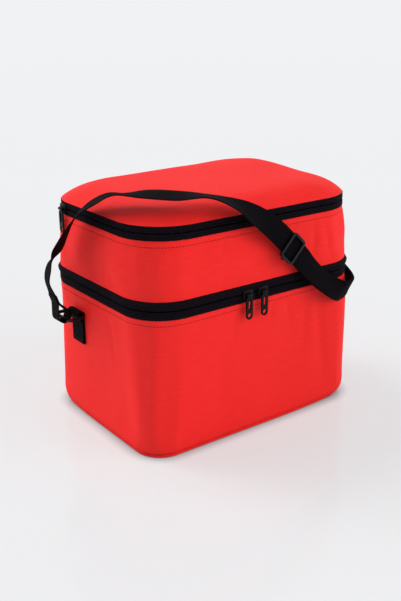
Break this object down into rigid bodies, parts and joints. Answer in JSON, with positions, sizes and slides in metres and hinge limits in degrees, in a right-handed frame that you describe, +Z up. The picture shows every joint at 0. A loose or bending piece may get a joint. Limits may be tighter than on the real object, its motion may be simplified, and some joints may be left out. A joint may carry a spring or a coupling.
{
  "type": "insulated bag",
  "caption": "Soft insulated carrier with a tall lower case, a shallower upper case on a fabric hinge, a crowned zip lid and an adjustable shoulder strap on side rings.",
  "frame": {"origin": "centre of the base on the surface that the bag stands on", "axes": "+Z up, front with the two zip pulls towards -Y, the bag's width along X"},
  "size_m": [0.3792, 0.2418, 0.2821],
  "materials": {
    "red_fabric": "smooth coated polyester, satin sheen",
    "black_tape": "ribbed woven zip tape, matt",
    "black_webbing": "woven webbing, matt",
    "coil_nylon": "moulded nylon coil",
    "zip_metal": "black paint, semi-gloss",
    "black_plastic": "moulded, satin gloss",
    "silver_liner": "metallised film, soft gloss",
    "foam": "closed-cell foam, matt",
    "board": "stiffener sheet, matt"
  },
  "bodies": {
    "lower_case": {"base_cover": "red_fabric", "base_piping": "red_fabric", "base_board": "board", "base_foam": "foam", "lower_shell": "red_fabric", "lower_foam": "foam", "lower_liner": "silver_liner", "lower_zip_tape": "black_tape", "middle_coil_lower": "coil_nylon", "middle_stop_left": "zip_metal", "middle_stop_right": "zip_metal", "middle_hinge_strip": "black_tape", "left_tab": "black_webbing", "right_tab": "black_webbing", "left_strap_end": "black_webbing", "right_strap_end": "black_webbing", "shoulder_strap": "black_webbing", "strap_return": "black_webbing"},
    "upper_case": {"upper_zip_tape": "black_tape", "middle_coil_upper": "coil_nylon", "divider_cover": "silver_liner", "divider_foam": "foam", "upper_shell": "red_fabric", "upper_foam": "foam", "upper_liner": "silver_liner", "upper_rim_tape": "black_tape", "top_coil_lower": "coil_nylon", "top_stop_left": "zip_metal", "top_stop_right": "zip_metal", "top_hinge_strip": "black_tape"},
    "lid": {"lid_zip_tape": "black_tape", "top_coil_upper": "coil_nylon", "lid_cover": "red_fabric", "lid_foam": "foam", "lid_liner": "silver_liner"},
    "left_ring": {"left_ring": "black_plastic"},
    "right_ring": {"right_ring": "black_plastic"},
    "tri_glide": {"tri_glide": "black_plastic"},
    "middle_slider_left": {"middle_slider_left": "zip_metal"},
    "middle_slider_right": {"middle_slider_right": "zip_metal"},
    "middle_pull_left": {"middle_pull_left": "zip_metal"},
    "middle_pull_right": {"middle_pull_right": "zip_metal"},
    "top_slider": {"top_slider": "zip_metal"},
    "top_pull": {"top_pull": "zip_metal"}
  },
  "joints": [
    {"name": "upper_case_hinge", "type": "hinge", "parent": "lower_case", "child": "upper_case", "pos_m": [0, 0.1108, 0.165], "axis": [-1, 0, 0], "range_deg": [0, 100], "deforming": ["middle_hinge_strip", "shoulder_strap"]},
    {"name": "lid_hinge", "type": "hinge", "parent": "upper_case", "child": "lid", "pos_m": [0, 0.1083, 0.2445], "axis": [-1, 0, 0], "range_deg": [0, 105], "deforming": ["top_hinge_strip", "shoulder_strap"]},
    {"name": "left_ring_hinge", "type": "hinge", "parent": "lower_case", "child": "left_ring", "pos_m": [-0.15421, 0.033, 0.1295], "axis": [0, 1, 0], "range_deg": [-65, 85], "deforming": ["left_strap_end"]},
    {"name": "right_ring_hinge", "type": "hinge", "parent": "lower_case", "child": "right_ring", "pos_m": [0.15421, 0.033, 0.1295], "axis": [0, -1, 0], "range_deg": [-65, 85], "deforming": ["right_strap_end"]},
    {"name": "tri_glide_slide", "type": "slide", "parent": "lower_case", "child": "tri_glide", "axis": [0.7219, 0, -0.6919], "range_m": [-0.015, 0.015], "deforming": ["strap_return"]},
    {"name": "middle_slider_left_slide", "type": "slide", "parent": "lower_case", "child": "middle_slider_left", "axis": [-1, 0, 0], "range_m": [0, 0.07]},
    {"name": "middle_slider_right_slide", "type": "slide", "parent": "lower_case", "child": "middle_slider_right", "axis": [1, 0, 0], "range_m": [0, 0.09]},
    {"name": "top_slider_slide", "type": "slide", "parent": "upper_case", "child": "top_slider", "axis": [0, -1, 0], "range_m": [0, 0.1]},
    {"name": "middle_pull_left_hinge", "type": "hinge", "parent": "middle_slider_left", "child": "middle_pull_left", "pos_m": [-0.025, -0.1155, 0.165], "axis": [-1, 0, 0], "range_deg": [0, 150]},
    {"name": "middle_pull_right_hinge", "type": "hinge", "parent": "middle_slider_right", "child": "middle_pull_right", "pos_m": [-0.004, -0.1155, 0.165], "axis": [-1, 0, 0], "range_deg": [0, 150]},
    {"name": "top_pull_hinge", "type": "hinge", "parent": "top_slider", "child": "top_pull", "pos_m": [-0.1514, 0.06, 0.2445], "axis": [0, 1, 0], "range_deg": [0, 150]}
  ]
}
